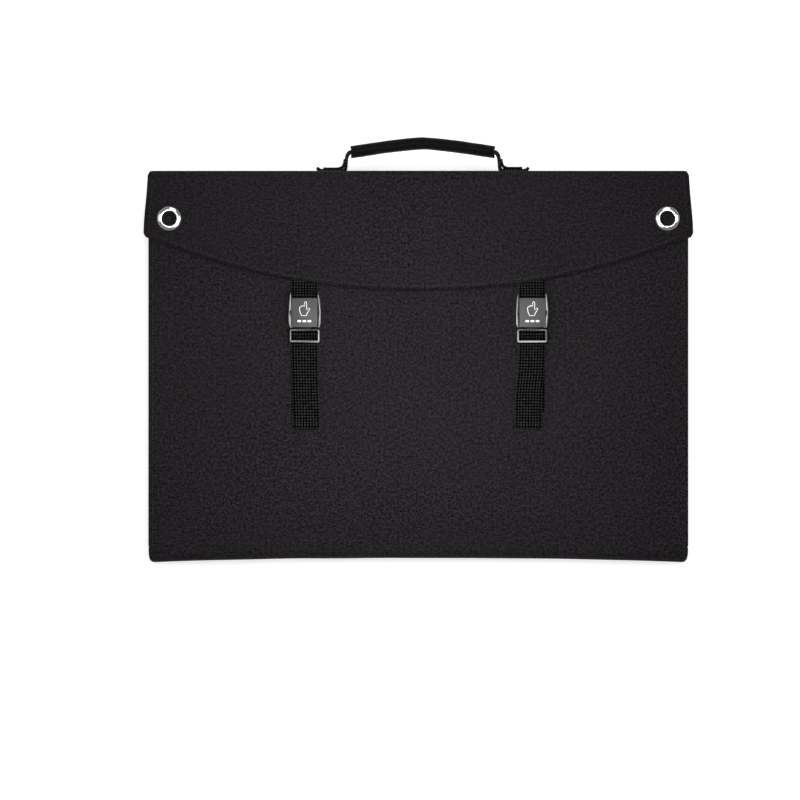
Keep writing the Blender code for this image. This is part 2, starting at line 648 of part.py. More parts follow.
clear_scene()
blanket = new_collection("folding_solar_blanket")
cutters = new_collection("cutters", hidden=True)
fabric = new_material("woven_polyester", (0.022, 0.019, 0.022), 0.85)
webbing = new_material("webbing", (0.014, 0.013, 0.014), 0.75)
plastic = new_material("acetal", (0.05, 0.05, 0.052), 0.45)
nickel = new_material("nickel", (0.80, 0.79, 0.77), 0.18, 1.0)
steel = new_material("spring_steel", (0.55, 0.55, 0.56), 0.30, 1.0)
solar = new_material("solar_laminate", (0.010, 0.014, 0.035), 0.22)
board_material = new_material("foam_board", (0.06, 0.06, 0.06), 0.90)
rubber = new_material("cable_rubber", (0.015, 0.015, 0.015), 0.60)
helper_material = new_material("helper", (0.80, 0.20, 0.20), 0.50)

leaf(1)
make_spine()
feet, grip = make_handle()
hang(grip, pivot("handle_pivot", (HANDLE_X, *HANDLE_AXIS)))

flap_pivot = pivot("flap_pivot", (0.0, *FLAP_AXIS))
hang(make_flap() + [make_flap_hinge()], flap_pivot)
leaf_2_pivot = pivot("panel_2_pivot", (0.0, *AXIS_1_2))
leaf_3_pivot = pivot("panel_3_pivot", (0.0, *AXIS_2_3), leaf_2_pivot)
leaf_4_pivot = pivot("panel_4_pivot", (0.0, *AXIS_3_4), leaf_3_pivot)

hang(leaf(2) + make_pocket(), leaf_2_pivot)
hang([fold("fold_1_2", PANEL_BOTTOM - GAP, -1, 0.0, BACK_FACES[1], GAP),
      jumper("jumper_1_2", PANEL_BOTTOM - GAP, -1, 0.0015, BACK_FACES[1] - 0.0013)], leaf_2_pivot)
hang(leaf(3), leaf_3_pivot)
hang([fold("fold_2_3", PANEL_TOP + GAP, 1, BACK_FACES[1] - FABRIC, BACK_FACES[2] + FABRIC),
      jumper("jumper_2_3", PANEL_TOP + GAP, 1, BACK_FACES[1] + GAP, BACK_FACES[2] - GAP)], leaf_3_pivot)
hang(leaf(4), leaf_4_pivot)
hang([fold("fold_3_4", PANEL_BOTTOM - GAP, -1, BACK_FACES[2], BACK_FACES[3]),
      jumper("jumper_3_4", PANEL_BOTTOM - GAP, -1, BACK_FACES[2] + 0.0013, BACK_FACES[3] - 0.0013)],
     leaf_4_pivot)

for side, label in ((-1, "left"), (1, "right")):
    hang(make_eyelet(side, label), flap_pivot)
    hang([make_socket(side, label), make_upper_strap(side, label), make_spring(side, label)], flap_pivot)
    button_pivot = pivot("button_pivot_" + label, (side * BUCKLE_X, *BUTTON_AXIS), flap_pivot)
    hang([make_button(side, label)], button_pivot)
    plug_pivot = pivot("plug_pivot_" + label, (side * BUCKLE_X, PLUG_HIGH, PLUG_UNDER), leaf_4_pivot)
    hang([make_plug(side, label), make_tail(side, label)], plug_pivot)
    hang([make_anchor(side, label)], leaf_4_pivot)

for obj in blanket.objects:
    if obj.type == "MESH" and obj.modifiers.get("Screw"):
        obj.data.shade_smooth()
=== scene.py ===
"""The looks of the folding solar blanket: charcoal woven case, ribbed webbing, press buckles, solar cells."""
import bisect
import math

import bmesh
import bpy
from mathutils import Matrix, Vector, noise


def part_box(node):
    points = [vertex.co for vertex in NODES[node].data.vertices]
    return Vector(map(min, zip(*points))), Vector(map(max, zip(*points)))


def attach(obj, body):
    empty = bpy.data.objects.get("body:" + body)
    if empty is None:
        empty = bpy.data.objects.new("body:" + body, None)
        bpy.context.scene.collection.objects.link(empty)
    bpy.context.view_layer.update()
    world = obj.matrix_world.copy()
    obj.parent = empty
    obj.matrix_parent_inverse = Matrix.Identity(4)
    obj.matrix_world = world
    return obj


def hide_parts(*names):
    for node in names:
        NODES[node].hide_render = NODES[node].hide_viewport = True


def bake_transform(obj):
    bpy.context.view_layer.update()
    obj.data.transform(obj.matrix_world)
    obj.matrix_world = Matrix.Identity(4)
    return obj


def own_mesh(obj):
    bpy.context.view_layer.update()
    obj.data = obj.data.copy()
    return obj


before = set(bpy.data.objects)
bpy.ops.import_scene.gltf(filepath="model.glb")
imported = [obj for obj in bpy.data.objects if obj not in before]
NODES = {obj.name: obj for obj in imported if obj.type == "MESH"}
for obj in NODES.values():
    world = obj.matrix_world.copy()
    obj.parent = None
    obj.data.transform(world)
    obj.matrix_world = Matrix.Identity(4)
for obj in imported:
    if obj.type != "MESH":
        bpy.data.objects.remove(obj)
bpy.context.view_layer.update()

# ---------------------------------------------------------------- sizes, in metres
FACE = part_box("panel_4_cover")[1][2]  # the closed front's fabric
FLAP_TOP_LINE = 0.1850
FLAP_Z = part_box("flap_cover")[1][2]
FLAP_DEPTH = 0.0019
FLAP_HALF = 0.2645
FLAP_FLARE = 0.2682
FLARE_Y = 0.1290
CORNER_X, CORNER_Y = 0.2655, 0.1248
LOWEST_Y = 0.0720
CURVE_POWER = 2.15
EYELET_X, EYELET_Y = 0.2430, 0.1430
BUCKLE_X = 0.1110
STRAP_WIDTH = 0.0252
WEBBING = 0.0011
HANDLE_X, HANDLE_Z = 0.0045, 0.0210
GRIP_HALF = 0.0693
BAND_WIDTH, DOUBLER_WIDTH, SLEEVE_AROUND = 0.0200, 0.0196, 0.0560
LEAF_HALF = 0.2640
LEAF_LOW, LEAF_HIGH = -0.1810, 0.1780
LEAF_CORNER = 0.0055
LEAF_TURN_IN = 0.0057  # how far a cover runs down round the leaf's edge
CELL_SIDE, CELL_GAP, CELL_CUT = 0.1570, 0.0030, 0.0130
RIBBONS, RIBBON_HALF = 5, 0.0007
FOLD_HALF = LEAF_HALF - 0.0004
FOLD_RUN, FOLD_LAP = 0.026, 0.0030
TOP_FOLD_BACKS = (0.01583, 0.02617)  # the backs of leaves 2 and 3
TOP_FOLD_REACH, TOP_FOLD_TIP, TOP_FOLD_DEPTH = 0.0068, 0.0006, 0.0005
CLOTH = 0.0008
BORDER = 0.0180
WELD = 1e-6
ON_CLOTH = 0.00004  # stitches lie this far above the cloth
PRESS_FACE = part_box("buckle_button_left")[1][2]
VIEW_MIDDLE = (-0.0179, -0.0340)
VIEW_WIDTH = 0.7815
LENS, SENSOR = 135.0, 36.0


def smooth(value):
    value = min(max(value, 0.0), 1.0)
    return value * value * (3 - 2 * value)


def ripple(x, y, size, seed=0.0):
    """A gentle unevenness between -1 and 1, about as wide as size."""
    return noise.noise(Vector((x / size, y / size, seed)))


# ---------------------------------------------------------------- materials
def add(tree, kind, inputs=(), **settings):
    """A shader node. inputs are (socket, value or another node's output)."""
    made = tree.nodes.new("ShaderNode" + kind)
    for key, value in settings.items():
        setattr(made, key, value)
    for key, value in inputs:
        if isinstance(value, bpy.types.NodeSocket):
            tree.links.new(value, made.inputs[key])
        else:
            made.inputs[key].default_value = value
    return made


def maths(tree, operation, first, second=0.0):
    return add(tree, "Math", ((0, first), (1, second)), operation=operation).outputs[0]


def finish(name, roughness, metallic=0.0, specular=0.5, sheen=0.0, coat=0.0):
    made = bpy.data.materials.new(name)
    made.use_nodes = True
    shader = made.node_tree.nodes["Principled BSDF"]
    shader.inputs["Roughness"].default_value = roughness
    shader.inputs["Metallic"].default_value = metallic
    shader.inputs["Specular IOR Level"].default_value = specular
    shader.inputs["Sheen Weight"].default_value = sheen
    shader.inputs["Coat Weight"].default_value = coat
    return made, made.node_tree, shader


def paint(tree, shader, amount, dark, light):
    """Base colour between two tones, by an amount from 0 to 1."""
    mix = add(tree, "MixRGB", ((0, amount), (1, (*dark, 1.0)), (2, (*light, 1.0))))
    tree.links.new(mix.outputs[0], shader.inputs["Base Color"])


def raise_bump(tree, shader, height, distance, strength=1.0):
    bump = add(tree, "Bump", (("Height", height), ("Distance", distance), ("Strength", strength)))
    tree.links.new(bump.outputs["Normal"], shader.inputs["Normal"])


def cloth_axes(tree):
    """Across and along the cloth, in metres."""
    place = add(tree, "UVMap", uv_map="cloth").outputs[0]
    split = add(tree, "SeparateXYZ", ((0, place),))
    return place, split.outputs[0], split.outputs[1]


def woven_cloth(name, dark, light, across=0.00245, along=0.00196):
    """Coated oxford: short floats in a basket, slubs in the yarn, and slow mottling. Its colour follows the
    weave's relief: painted shade in the hollows between the yarns and a painted highlight on the yarn tops.
    """
    made, tree, shader = finish(name, 0.60)
    place, u, v = cloth_axes(tree)
    slub = add(tree, "TexNoise", (("Vector", place), ("Scale", 900.0), ("Detail", 3.0)))
    shift = maths(tree, "MULTIPLY", slub.outputs[0], 1.1)
    warp = maths(tree, "SINE", maths(tree, "ADD", maths(tree, "MULTIPLY", u, math.tau / across), shift))
    weft = maths(tree, "SINE", maths(tree, "ADD", maths(tree, "MULTIPLY", v, math.tau / along), shift))
    basket = maths(tree, "MULTIPLY", warp, weft)
    grain = maths(tree, "SUBTRACT", slub.outputs[0], 0.5)
    height = maths(tree, "ADD", maths(tree, "MULTIPLY", basket, 0.5), maths(tree, "MULTIPLY", grain, 1.4))
    slow = add(tree, "TexNoise", (("Vector", place), ("Scale", 9.0), ("Detail", 1.0)))
    drift = maths(tree, "ADD", maths(tree, "MULTIPLY", slow.outputs[0], 0.10), 0.40)
    yarn = add(tree, "TexNoise", (("Vector", place), ("Scale", 380.0), ("Detail", 1.0)))
    patch = maths(tree, "MULTIPLY", maths(tree, "SUBTRACT", yarn.outputs[0], 0.5), 1.3)
    drift = maths(tree, "ADD", drift, patch)
    # The base colour comes from the bump's height: painted shade in the weave's hollows and a painted
    # highlight on the yarn tops, with random yarn tone and mottling added.
    tone = maths(tree, "ADD", maths(tree, "MULTIPLY", height, 0.90), drift)
    tone = add(tree, "Clamp", ((0, tone),)).outputs[0]
    paint(tree, shader, tone, dark, light)
    tree.links.new(maths(tree, "MULTIPLY", tone, 0.20), shader.inputs["Specular IOR Level"])
    raise_bump(tree, shader, height, 0.00035, 0.8)
    return made


def ribbed_webbing(name, dark, light, pitch=0.0028):
    """Nylon webbing: rows of raised dots that lean on each other, between firmer edges. Its colour is painted
    shade between the dots and a painted highlight on their tops.
    """
    made, tree, shader = finish(name, 0.60)
    place, u, v = cloth_axes(tree)
    across = maths(tree, "ABSOLUTE", maths(tree, "SINE", maths(tree, "MULTIPLY", u, math.pi / pitch)))
    along = maths(tree, "ABSOLUTE", maths(tree, "SINE", maths(tree, "MULTIPLY", v, math.pi / pitch)))
    dots = maths(tree, "POWER", maths(tree, "MULTIPLY", across, along), 2.2)
    fibre = add(tree, "TexNoise", (("Vector", place), ("Scale", 1600.0), ("Detail", 2.0)))
    patch = add(tree, "TexNoise", (("Vector", place), ("Scale", 260.0), ("Detail", 2.0)))
    fibre = maths(tree, "MULTIPLY", maths(tree, "ADD", fibre.outputs[0], patch.outputs[0]), 0.55)
    height = maths(tree, "ADD", maths(tree, "MULTIPLY", dots, 0.85), maths(tree, "SUBTRACT", fibre, 0.37))
    # The base colour comes from the bump's height: painted shade between the dots and a painted highlight on
    # their tops, with random fibre tone added.
    tone = add(tree, "Clamp", ((0, maths(tree, "SUBTRACT", height, 0.24)),)).outputs[0]
    paint(tree, shader, tone, dark, light)
    tree.links.new(maths(tree, "MULTIPLY", tone, 0.30), shader.inputs["Specular IOR Level"])
    raise_bump(tree, shader, height, 0.00050, 0.8)
    return made


def grained(name, dark, light, roughness, scale=900.0, depth=0.00003, **more):
    """Moulded or drawn stock with a fine grain and slow changes of tone."""
    made, tree, shader = finish(name, roughness, **more)
    place = add(tree, "TexCoord").outputs["Object"]
    fine = add(tree, "TexNoise", (("Vector", place), ("Scale", scale), ("Detail", 3.0)))
    slow = add(tree, "TexNoise", (("Vector", place), ("Scale", scale / 30), ("Detail", 2.0)))
    tone = maths(tree, "MULTIPLY", maths(tree, "ADD", fine.outputs[0], slow.outputs[0]), 0.5)
    paint(tree, shader, tone, dark, light)
    if depth:
        raise_bump(tree, shader, fine.outputs[0], depth, 0.6)
    return made


def solar_cell(name):
    """Blue-black silicon with hair-thin silver fingers across it."""
    made, tree, shader = finish(name, 0.24, specular=0.5, coat=0.6)
    place = add(tree, "TexCoord").outputs["Object"]
    split = add(tree, "SeparateXYZ", ((0, place),))
    wave = maths(tree, "SINE", maths(tree, "MULTIPLY", split.outputs[1], math.tau / 0.0018))
    finger = maths(tree, "GREATER_THAN", wave, 0.90)
    cloud = add(tree, "TexNoise", (("Vector", place), ("Scale", 16.0), ("Detail", 4.0)))
    base = add(tree, "MixRGB", ((0, cloud.outputs[0]), (1, (0.004, 0.006, 0.018, 1.0)),
                                (2, (0.010, 0.016, 0.045, 1.0))))
    mix = add(tree, "MixRGB", ((0, finger), (1, base.outputs[0]), (2, (0.045, 0.050, 0.065, 1.0))))
    tree.links.new(mix.outputs[0], shader.inputs["Base Color"])
    return made


case_cloth = woven_cloth("case_cloth", (0.0008, 0.0006, 0.0008), (0.0165, 0.0140, 0.0165))
inner_cloth = woven_cloth("inner_cloth", (0.0008, 0.0008, 0.0009), (0.0090, 0.0085, 0.0090), 0.0016, 0.0013)
webbing = ribbed_webbing("webbing", (0.0005, 0.0005, 0.0005), (0.030, 0.028, 0.029))
thread = grained("thread", (0.012, 0.011, 0.012), (0.045, 0.042, 0.045), 0.60, scale=2500.0, specular=0.2)
moulding = grained("buckle_moulding", (0.0050, 0.0050, 0.0052), (0.0120, 0.0120, 0.0122), 0.24, specular=0.7)
press = grained("press_plate_moulding", (0.020, 0.020, 0.021), (0.062, 0.061, 0.063), 0.50, specular=0.3)
black_plastic = grained("black_plastic", (0.008, 0.008, 0.008), (0.022, 0.022, 0.022), 0.45)
mark = grained("printed_mark", (0.70, 0.71, 0.70), (0.85, 0.86, 0.85), 0.55)
nickel = grained("polished_nickel", (0.74, 0.72, 0.70), (0.86, 0.85, 0.83), 0.12, depth=0.0, metallic=1.0)
steel = grained("spring_steel", (0.40, 0.40, 0.41), (0.60, 0.60, 0.61), 0.28, metallic=1.0)
silver = grained("silver_ribbon", (0.42, 0.43, 0.45), (0.60, 0.61, 0.63), 0.30, metallic=0.8)
foam = grained("stiff_foam", (0.030, 0.030, 0.032), (0.075, 0.075, 0.078), 0.9, scale=400.0, depth=0.0001)
backsheet = grained("laminate_film", (0.006, 0.007, 0.010), (0.013, 0.014, 0.020), 0.16, scale=300.0,
                    coat=0.5)
rubber = grained("cable_rubber", (0.008, 0.008, 0.008), (0.020, 0.020, 0.020), 0.6)
cells_finish = solar_cell("solar_cells")


# ---------------------------------------------------------------- making pieces
def stops(start, *spans):
    """Distances along a sheet: from start, each span says how far it goes and in how many steps."""
    found = [start]
    for end, count in spans:
        begin = found[-1]
        found += [begin + (end - begin) * (i + 1) / count for i in range(count)]
    return found


def cloth_sheet(across, along):
    """A flat sheet whose rows and columns lie at the given distances, with cloth coordinates in metres."""
    bm = bmesh.new()
    columns, rows = len(across) - 1, len(along) - 1
    bmesh.ops.create_grid(bm, x_segments=columns, y_segments=rows, size=0.5)
    for vert in bm.verts:
        vert.co.x = across[round((vert.co.x + 0.5) * columns)]
        vert.co.y = along[round((vert.co.y + 0.5) * rows)]
    layer = bm.loops.layers.uv.new("cloth")
    for face in bm.faces:
        for loop in face.loops:
            loop[layer].uv = loop.vert.co.xy
    return bm


def cloth_by_side(bm):
    """Cloth coordinates for a solid: each face is laid flat along its main direction."""
    layer = bm.loops.layers.uv.new("cloth")
    bm.normal_update()
    for face in bm.faces:
        way = max(range(3), key=lambda i: abs(face.normal[i]))
        first, second = [i for i in range(3) if i != way]
        for loop in face.loops:
            loop[layer].uv = (loop.vert.co[first], loop.vert.co[second])


def shape(bm, rule):
    for vert in bm.verts:
        vert.co = Vector(rule(vert.co.x, vert.co.y))


def block(low, high):
    bm = bmesh.new()
    low, high = Vector(low), Vector(high)
    place = Matrix.Translation((low + high) / 2) @ Matrix.Diagonal((*(high - low), 1.0))
    bmesh.ops.create_cube(bm, size=1.0, matrix=place)
    return bm


def soften(bm, offset, segments=2, sharper_than=30.0, keep=lambda edge: True):
    """Rounds the edges that are sharper than an angle, in degrees."""
    edges = [e for e in bm.edges if e.calc_face_angle(0.0) > math.radians(sharper_than) and keep(e)]
    bmesh.ops.bevel(bm, geom=edges, offset=offset, segments=segments, affect="EDGES",
                    profile=0.5, material=-1, clamp_overlap=True)


def upright(edge):
    return abs((edge.verts[0].co - edge.verts[1].co).normalized().z) > 0.99


def put(name, bm, surface, stands_for=(), sharp=40.0):
    """Makes a bmesh a piece of the object."""
    mesh = bpy.data.meshes.new(name)
    bm.to_mesh(mesh)
    bm.free()
    mesh.materials.append(surface)
    mesh.shade_smooth()
    mesh.set_sharp_from_angle(angle=math.radians(sharp))
    obj = bpy.data.objects.new(name, mesh)
    bpy.context.scene.collection.objects.link(obj)
    if stands_for:
        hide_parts(*stands_for)
    return obj


def settle(obj):
    """Keeps what the modifiers make, and removes them."""
    bpy.context.view_layer.update()
    graph = bpy.context.evaluated_depsgraph_get()
    mesh = bpy.data.meshes.new_from_object(obj.evaluated_get(graph))
    obj.modifiers.clear()
    obj.data = mesh
    return obj


def thicken(obj, depth):
    """Gives a sheet its thickness, behind the surface that shows."""
    solid = obj.modifiers.new("Thickness", "SOLIDIFY")
    solid.thickness = depth
    solid.offset = -1.0
    return settle(obj)


def copy_of(node):
    """A frame node's own shape, with its flat faces whole."""
    bm = bmesh.new()
    bm.from_mesh(NODES[node].data)
    bmesh.ops.remove_doubles(bm, verts=bm.verts, dist=WELD)
    bmesh.ops.dissolve_limit(bm, angle_limit=math.radians(1), verts=bm.verts, edges=bm.edges)
    return bm


def like_frame(name, node, surface, edge=0.0, segments=2):
    """A moulded version of a frame node: the same shape with rounded edges."""
    bm = copy_of(node)
    if edge:
        soften(bm, edge, segments)
    cloth_by_side(bm)
    return put(name, bm, surface, [node])


def curve_through(points, steps=8):
    """A smooth line through the points."""
    found = []
    count = len(points)
    for i in range(count - 1):
        a, b = Vector(points[max(i - 1, 0)]), Vector(points[i])
        c, d = Vector(points[i + 1]), Vector(points[min(i + 2, count - 1)])
        for j in range(steps):
            t = j / steps
            found.append(0.5 * (2 * b + (c - a) * t + (2 * a - 5 * b + 4 * c - d) * t * t
                                + (3 * b - a - 3 * c + d) * t ** 3))
    found.append(Vector(points[-1]))
    return found


def lengths(path):
    """How far along the path each of its points is."""
    found = [0.0]
    for first, second in zip(path, path[1:]):
        found.append(found[-1] + (second - first).length)
    return found


def face_outwards(bm, spot, way):
    """Turns all the faces, if need be, so that the one nearest a spot looks the given way."""
    bm.normal_update()
    spot = Vector(spot)
    nearest = min(bm.faces, key=lambda f: (f.calc_center_median() - spot).length)
    if nearest.normal.dot(Vector(way)) < 0:
        bmesh.ops.reverse_faces(bm, faces=bm.faces)


def strap(name, path, width, depth, place, surface=None, stands_for=(), across=6):
    """Webbing along a flat path. place turns (distance to one side, path point) into a point in space."""
    far = lengths(path)
    columns = stops(-width / 2, (width / 2, across))
    bm = cloth_sheet(columns, far)
    for vert in bm.verts:
        i = bisect.bisect_left(far, vert.co.y - 1e-6)
        before, after = path[max(i - 1, 0)], path[min(i + 1, len(path) - 1)]
        along = (after - before).normalized()
        side = Vector((-along.y, along.x))
        edge = 1 - 0.45 * smooth((abs(vert.co.x) / (width / 2) - 0.80) / 0.20)
        vert.co = Vector(place(vert.co.x, path[i] + side * depth / 2 * edge))
    i = len(path) // 2
    along = (path[i + 1] - path[i - 1]).normalized()
    under = Vector(place(0.0, path[i]))
    over = Vector(place(0.0, path[i] + Vector((-along.y, along.x)) * depth / 2))
    face_outwards(bm, over, over - under)
    obj = put(name, bm, surface or webbing, stands_for)
    return thicken(obj, depth)


def stitch_row(name, points, normals, pitch=0.0032, size=(0.00105, 0.00026, 0.00020)):
    """A row of thread stitches along a line of points on a surface."""
    one = bpy.data.meshes.new("one_stitch")
    ball = bmesh.new()
    bmesh.ops.create_uvsphere(ball, u_segments=6, v_segments=4, radius=1.0)
    ball.to_mesh(one)
    ball.free()
    bm = bmesh.new()
    far = lengths(points)
    count = max(int(far[-1] / pitch), 1)
    at = 0
    for k in range(count):
        distance = (k + 0.5) * far[-1] / count
        while far[at + 1] < distance:
            at += 1
        share = (distance - far[at]) / (far[at + 1] - far[at])
        centre = points[at].lerp(points[at + 1], share)
        along = (points[at + 1] - points[at]).normalized()
        up = normals[at]
        side = up.cross(along).normalized()
        turn = Matrix((along, side, up)).transposed().to_4x4()
        place = Matrix.Translation(centre) @ turn @ Matrix.Diagonal((*size, 1.0))
        one.transform(place)
        bm.from_mesh(one)
        one.transform(place.inverted())
    bpy.data.meshes.remove(one)
    return put(name, bm, thread, sharp=180.0)


UP = Vector((0.0, 0.0, 1.0))


# ---------------------------------------------------------------- the four leaves
def over_edge(distance, half, radius):
    """A flat cloth folded over an edge: how far out a point lies, and how far down."""
    past = abs(distance) - (half - radius)
    if past <= 0:
        return distance, 0.0
    arc = radius * math.pi / 2
    if past < arc:
        out, down = radius * math.sin(past / radius), radius * (1 - math.cos(past / radius))
    else:
        out, down = radius, radius + past - arc
    return math.copysign(half - radius + out, distance), down


def pillow(x, y, depth):
    """How far a leaf's outer cloth lies under its middle: it falls away towards the edges."""
    side = smooth((abs(x) - (LEAF_HALF - 0.045)) / 0.045)
    end = smooth((abs(y - (LEAF_LOW + LEAF_HIGH) / 2) - ((LEAF_HIGH - LEAF_LOW) / 2 - 0.040)) / 0.040)
    return depth * (side + end - side * end)


LEAF_PILLOW = {1: 0.0, 2: 0.0002, 3: 0.0002, 4: 0.0011}
# Each outer face's height, and 1 where that face looks up.
LEAF_WAYS = {number: (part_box(f"panel_{number}_cover")[0][2], -1) for number in (1, 3)}
LEAF_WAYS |= {number: (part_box(f"panel_{number}_cover")[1][2], 1) for number in (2, 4)}


def leaf_face(number, x, y):
    """Height of the outer cloth of a leaf over its own back plane, which is 0 or less."""
    sag = pillow(x, y, LEAF_PILLOW[number])
    if number == 4:
        sag += 0.00018 * (1 + ripple(x, y, 0.07, 3.0)) * smooth(sag / 0.0002)
    return -sag


def leaf_cover(number):
    """Outer cloth of a leaf, folded round its edges down to the border."""
    plane, way = LEAF_WAYS[number]
    wall = LEAF_TURN_IN
    side_radius, end_radius = 0.0026, 0.0009
    half_y = (LEAF_HIGH - LEAF_LOW) / 2
    middle_y = (LEAF_HIGH + LEAF_LOW) / 2
    reach = LEAF_HALF - side_radius
    arc = side_radius * math.pi / 2
    drop = wall - side_radius
    across = stops(-reach - arc - drop, (-reach - arc, 2), (-reach, 5), (-reach + 0.045, 8),
                   (reach - 0.045, 24), (reach, 8), (reach + arc, 5), (reach + arc + drop, 2))
    reach = half_y - end_radius
    arc = end_radius * math.pi / 2
    drop = wall - end_radius
    along = stops(-reach - arc - drop, (-reach - arc, 2), (-reach, 3), (-reach + 0.040, 8),
                  (reach - 0.040, 18), (reach, 8), (reach + arc, 3), (reach + arc + drop, 2))
    bm = cloth_sheet(across, along)

    def rule(u, v):
        x, down_x = over_edge(u, LEAF_HALF, side_radius)
        y, down_y = over_edge(v, half_y, end_radius)
        out = Vector((abs(x) - (LEAF_HALF - LEAF_CORNER), abs(y) - (half_y - LEAF_CORNER)))
        if out.x > 0 and out.y > 0 and out.length > LEAF_CORNER:
            out = out.normalized() * LEAF_CORNER
            x = math.copysign(LEAF_HALF - LEAF_CORNER + out.x, x)
            y = math.copysign(half_y - LEAF_CORNER + out.y, y)
        y_world = middle_y + way * y
        flat = leaf_face(number, x, y_world)
        down = max(down_x, down_y)
        fade = 1 - smooth(down / wall)
        return x, way * y_world, flat * fade - down

    shape(bm, rule)
    bmesh.ops.remove_doubles(bm, verts=bm.verts, dist=WELD)
    bmesh.ops.dissolve_degenerate(bm, dist=WELD, edges=bm.edges)
    if way < 0:
        bmesh.ops.rotate(bm, verts=bm.verts, matrix=Matrix.Rotation(math.pi, 3, "X"))
    bmesh.ops.translate(bm, verts=bm.verts, vec=(0.0, 0.0, plane))
    obj = put(f"leaf_{number}_cover", bm, case_cloth, [f"panel_{number}_cover"])
    thicken(obj, CLOTH)
    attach(obj, leaf_body(number))


def leaf_board(number):
    """The stiff board behind the cloth, thinner where the cloth falls away to the edges."""
    low, high = (Vector(corner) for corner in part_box(f"panel_{number}_board"))
    way = LEAF_WAYS[number][1]
    bm = cloth_sheet(stops(low.x, (low.x + 0.045, 8), (high.x - 0.045, 12), (high.x, 8)),
                     stops(low.y, (low.y + 0.045, 8), (high.y - 0.045, 10), (high.y, 8)))
    outer = high.z if way > 0 else low.z
    inner = low.z if way > 0 else high.z
    for vert in bm.verts:
        vert.co.z = outer + way * min(0.0, leaf_face(number, vert.co.x, vert.co.y))
    sheet = bmesh.ops.extrude_face_region(bm, geom=list(bm.faces))["geom"]
    for vert in sheet:
        if isinstance(vert, bmesh.types.BMVert):
            vert.co.z = inner
    bmesh.ops.recalc_face_normals(bm, faces=bm.faces)
    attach(put(f"leaf_{number}_board", bm, foam, [f"panel_{number}_board"]), leaf_body(number))


def leaf_body(number):
    return "back_panel" if number == 1 else f"panel_{number}"


def leaf_border(number):
    """Cloth frame that laps over the laminate's edge, with two rows of stitches."""
    low, high = (Vector(corner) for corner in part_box(f"panel_{number}_border"))
    bm = block(low, high)
    soften(bm, LEAF_CORNER, 4, keep=upright)
    faces = [f for f in bm.faces if abs(f.normal.z) > 0.9]
    bmesh.ops.inset_individual(bm, faces=faces, thickness=BORDER, use_even_offset=True)
    inner = [f for f in bm.faces if abs(f.normal.z) > 0.9 and f.calc_area() > 0.1]
    rims = [list(f.edges) for f in inner]
    bmesh.ops.delete(bm, geom=inner, context="FACES_ONLY")
    bmesh.ops.bridge_loops(bm, edges=[e for rim in rims for e in rim])
    bmesh.ops.recalc_face_normals(bm, faces=bm.faces)
    soften(bm, 0.00028, 2, 50.0)
    cloth_by_side(bm)
    obj = put(f"leaf_{number}_border", bm, case_cloth, [f"panel_{number}_border"])
    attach(obj, leaf_body(number))
    way = LEAF_WAYS[number][1]
    face = low.z if way > 0 else high.z
    for row, inset in (("outer", 0.0035), ("inner", BORDER - 0.0030)):
        corners = [(low.x + inset, low.y + inset), (high.x - inset, low.y + inset),
                   (high.x - inset, high.y - inset), (low.x + inset, high.y - inset)]
        corners.append(corners[0])
        points = [Vector((x, y, face)) for x, y in corners]
        normals = [UP * -way] * len(points)
        stitches = stitch_row(f"leaf_{number}_{row}_stitches", points, normals, pitch=0.0040)
        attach(stitches, leaf_body(number))


def leaf_cells(number):
    """Six cells with cut corners, and the silver ribbons that join them."""
    low, high = (Vector(corner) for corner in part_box(f"panel_{number}_laminate"))
    way = LEAF_WAYS[number][1]
    face = low.z if way > 0 else high.z
    lift, sunk, ribbon_lift = 0.00012, 0.0002, 0.00006
    middle = (low + high) / 2
    cells, ribbons = bmesh.new(), bmesh.new()
    for column in range(3):
        for row in range(2):
            x = middle.x + (column - 1) * (CELL_SIDE + CELL_GAP)
            y = middle.y + (row - 0.5) * (CELL_SIDE + CELL_GAP)
            half = CELL_SIDE / 2
            near, far = sorted((face + way * sunk, face - way * lift))
            cell = block((x - half, y - half, near), (x + half, y + half, far))
            soften(cell, CELL_CUT, 1, keep=upright)
            join_in(cells, cell)
            near, far = sorted((face, face - way * (lift + ribbon_lift)))
            for bar in range(RIBBONS):
                bar_x = x + (bar - (RIBBONS - 1) / 2) * CELL_SIDE / RIBBONS
                join_in(ribbons, block((bar_x - RIBBON_HALF, y - half - CELL_GAP / 2, near),
                                       (bar_x + RIBBON_HALF, y + half + CELL_GAP / 2, far)))
    for name, bm, surface in ((f"leaf_{number}_cells", cells, cells_finish),
                              (f"leaf_{number}_ribbons", ribbons, silver)):
        cloth_by_side(bm)
        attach(put(name, bm, surface), leaf_body(number))


def join_in(bm, other):
    """Moves all of one bmesh into another."""
    mesh = bpy.data.meshes.new("joining")
    other.to_mesh(mesh)
    other.free()
    bm.from_mesh(mesh)
    bpy.data.meshes.remove(mesh)


def front_stitches():
    """Rows of stitches down both sides of the closed front."""
    steps, inset = 60, 0.004
    for side, label in ((-1, "left"), (1, "right")):
        x = side * (LEAF_HALF - 0.0042)
        points = []
        for i in range(steps + 1):
            y = LEAF_LOW + inset + (LEAF_HIGH - LEAF_LOW - 2 * inset) * i / steps
            points.append(Vector((x, y, FACE + leaf_face(4, x, y) + ON_CLOTH / 2)))
        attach(stitch_row(f"front_stitches_{label}", points, [UP] * len(points)), "panel_4")


# ---------------------------------------------------------------- folds between the leaves
def bottom_bulge(x):
    """The folds at the bottom hang lower towards the corners."""
    return 0.0079 + 0.0040 * (abs(x) / 0.258) ** 2.5


def corner_inset(x):
    """How far the leaves' rounded corners take a fold in at its ends."""
    past = max(0.0, abs(x) - (FOLD_HALF - LEAF_CORNER))
    return LEAF_CORNER - math.sqrt(max(0.0, LEAF_CORNER ** 2 - past ** 2))


